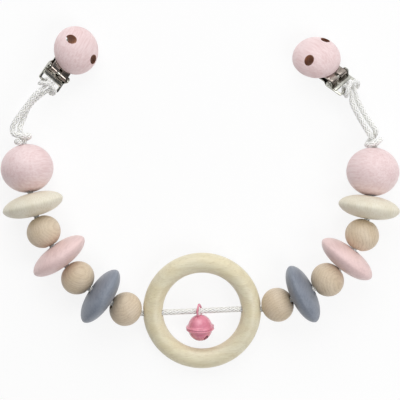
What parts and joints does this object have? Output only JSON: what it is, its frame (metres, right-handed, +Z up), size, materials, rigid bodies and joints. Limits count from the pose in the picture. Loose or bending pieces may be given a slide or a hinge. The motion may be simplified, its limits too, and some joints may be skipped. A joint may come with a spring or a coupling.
{
  "type": "pram chain toy",
  "caption": "Pram chain toy: turned wooden beads, a grasping ring and a jingle bell threaded on a braided cord that is hitched at each end to a metal clip with a domed wooden button.",
  "frame": {"origin": "on the surface that the toy lies on, under the middle of its outline", "axes": "+X runs along the spread-out toy from its left clip's side to its right clip's side, +Y from the ring to the clips, and +Z up"},
  "size_m": [0.2327, 0.2014, 0.036],
  "materials": {
    "cord": "white braided polyester cord, matt",
    "bare_wood": "clear-waxed beech, silky",
    "cream_paint": "thin cream stain on beech, satin",
    "pink_paint": "pale pink lacquer on beech, satin",
    "grey_paint": "blue-grey lacquer on beech, satin",
    "blush_paint": "pale blush lacquer on beech, satin",
    "ring_wood": "clear-lacquered maple, satin",
    "bell_enamel": "pink enamel on steel, glossy",
    "bare_metal": "nickel-plated steel, bright",
    "pad_plastic": "translucent white plastic, matt"
  },
  "bodies": {
    "cord": {"cord": "cord"},
    "left_big_bead": {"left_big_bead": "blush_paint"},
    "left_cream_lens_bead": {"left_cream_lens_bead": "cream_paint"},
    "left_grey_lens_bead": {"left_grey_lens_bead": "grey_paint"},
    "left_pink_lens_bead": {"left_pink_lens_bead": "pink_paint"},
    "left_round_bead_1": {"left_round_bead_1": "bare_wood"},
    "left_round_bead_2": {"left_round_bead_2": "bare_wood"},
    "left_round_bead_3": {"left_round_bead_3": "bare_wood"},
    "right_big_bead": {"right_big_bead": "blush_paint"},
    "right_cream_lens_bead": {"right_cream_lens_bead": "cream_paint"},
    "right_grey_lens_bead": {"right_grey_lens_bead": "grey_paint"},
    "right_pink_lens_bead": {"right_pink_lens_bead": "pink_paint"},
    "right_round_bead_1": {"right_round_bead_1": "bare_wood"},
    "right_round_bead_2": {"right_round_bead_2": "bare_wood"},
    "right_round_bead_3": {"right_round_bead_3": "bare_wood"},
    "ring": {"grasping_ring": "ring_wood"},
    "bell": {"bell_upper_shell": "bell_enamel", "bell_lower_shell": "bell_enamel", "bell_loop": "bell_enamel"},
    "pellet": {"bell_pellet": "bare_metal"},
    "left_clip": {"left_clip_base": "bare_metal", "left_clip_pin": "bare_metal"},
    "left_clip_lever": {"left_clip_lever": "bare_metal", "left_clip_jaw_pad": "pad_plastic", "left_clip_rivet": "bare_metal", "left_clip_button": "blush_paint"},
    "right_clip": {"right_clip_base": "bare_metal", "right_clip_pin": "bare_metal"},
    "right_clip_lever": {"right_clip_lever": "bare_metal", "right_clip_jaw_pad": "pad_plastic", "right_clip_rivet": "bare_metal", "right_clip_button": "blush_paint"}
  },
  "joints": [
    {"name": "left_big_bead_spin", "type": "hinge", "parent": "cord", "child": "left_big_bead", "pos_m": [-0.10104, 0.01712, 0.01576], "axis": [-0.1312, 0.9881, -0.0803], "continuous": true},
    {"name": "left_cream_lens_bead_spin", "type": "hinge", "parent": "cord", "child": "left_cream_lens_bead", "pos_m": [-0.09742, -0.00413, 0.01799], "axis": [-0.2542, 0.9665, 0.0362], "continuous": true},
    {"name": "left_grey_lens_bead_spin", "type": "hinge", "parent": "cord", "child": "left_grey_lens_bead", "pos_m": [-0.05808, -0.05748, 0.01787], "axis": [-0.8223, 0.5488, 0.1507], "continuous": true},
    {"name": "left_pink_lens_bead_spin", "type": "hinge", "parent": "cord", "child": "left_pink_lens_bead", "pos_m": [-0.08215, -0.034, 0.01801], "axis": [-0.59, 0.8006, 0.1045], "continuous": true},
    {"name": "left_round_bead_1_spin", "type": "hinge", "parent": "cord", "child": "left_round_bead_1", "pos_m": [-0.09112, -0.01987, 0.01813], "axis": [-0.4664, 0.8845, 0.0136], "continuous": true},
    {"name": "left_round_bead_2_spin", "type": "hinge", "parent": "cord", "child": "left_round_bead_2", "pos_m": [-0.07125, -0.04677, 0.01816], "axis": [-0.7124, 0.7015, -0.0203], "continuous": true},
    {"name": "left_round_bead_3_spin", "type": "hinge", "parent": "cord", "child": "left_round_bead_3", "pos_m": [-0.0436, -0.06528, 0.0136], "axis": [-0.8896, 0.3464, 0.2976], "continuous": true},
    {"name": "right_big_bead_spin", "type": "hinge", "parent": "cord", "child": "right_big_bead", "pos_m": [0.10099, 0.01513, 0.01566], "axis": [0.0948, 0.9923, -0.0795], "continuous": true},
    {"name": "right_cream_lens_bead_spin", "type": "hinge", "parent": "cord", "child": "right_cream_lens_bead", "pos_m": [0.09858, -0.00567, 0.01805], "axis": [0.1526, 0.9882, 0.0163], "continuous": true},
    {"name": "right_grey_lens_bead_spin", "type": "hinge", "parent": "cord", "child": "right_grey_lens_bead", "pos_m": [0.05998, -0.05621, 0.01788], "axis": [0.8884, 0.4344, 0.1483], "continuous": true},
    {"name": "right_pink_lens_bead_spin", "type": "hinge", "parent": "cord", "child": "right_pink_lens_bead", "pos_m": [0.08563, -0.03578, 0.01801], "axis": [0.6123, 0.7838, 0.1039], "continuous": true},
    {"name": "right_round_bead_1_spin", "type": "hinge", "parent": "cord", "child": "right_round_bead_1", "pos_m": [0.09446, -0.02177, 0.01818], "axis": [0.3897, 0.9206, 0.0233], "continuous": true},
    {"name": "right_round_bead_2_spin", "type": "hinge", "parent": "cord", "child": "right_round_bead_2", "pos_m": [0.07428, -0.04786, 0.01816], "axis": [0.7863, 0.6175, -0.021], "continuous": true},
    {"name": "right_round_bead_3_spin", "type": "hinge", "parent": "cord", "child": "right_round_bead_3", "pos_m": [0.04545, -0.06277, 0.01375], "axis": [0.8898, 0.3355, 0.3094], "continuous": true},
    {"name": "ring_turn", "type": "hinge", "parent": "cord", "child": "ring", "pos_m": [0.0012, -0.0665, 0.0106], "axis": [0.999, 0.0436, 0], "continuous": true},
    {"name": "bell_swing", "type": "hinge", "parent": "cord", "child": "bell", "pos_m": [-0.0004, -0.06657, 0.0106], "axis": [0.999, 0.0436, 0], "continuous": true},
    {"name": "pellet_roll", "type": "hinge", "parent": "bell", "child": "pellet", "pos_m": [0.00004, -0.0766, 0.0083], "axis": [0.999, 0.0436, 0], "continuous": true},
    {"name": "left_clip_swing", "type": "hinge", "parent": "cord", "child": "left_clip", "pos_m": [-0.08874, 0.06634, 0.0145], "axis": [-0.6586, 0.5942, 0.4616], "range_deg": [-35, 50]},
    {"name": "left_lever_open", "type": "hinge", "parent": "left_clip", "child": "left_clip_lever", "pos_m": [-0.08305, 0.07317, 0.01382], "axis": [0.6586, -0.5942, -0.4616], "range_deg": [0, 60]},
    {"name": "right_clip_swing", "type": "hinge", "parent": "cord", "child": "right_clip", "pos_m": [0.08669, 0.0641, 0.016], "axis": [-0.6864, -0.5956, 0.4173], "range_deg": [-35, 50]},
    {"name": "right_lever_open", "type": "hinge", "parent": "right_clip", "child": "right_clip_lever", "pos_m": [0.08051, 0.07043, 0.01486], "axis": [0.6864, 0.5956, -0.4173], "range_deg": [0, 60]}
  ]
}
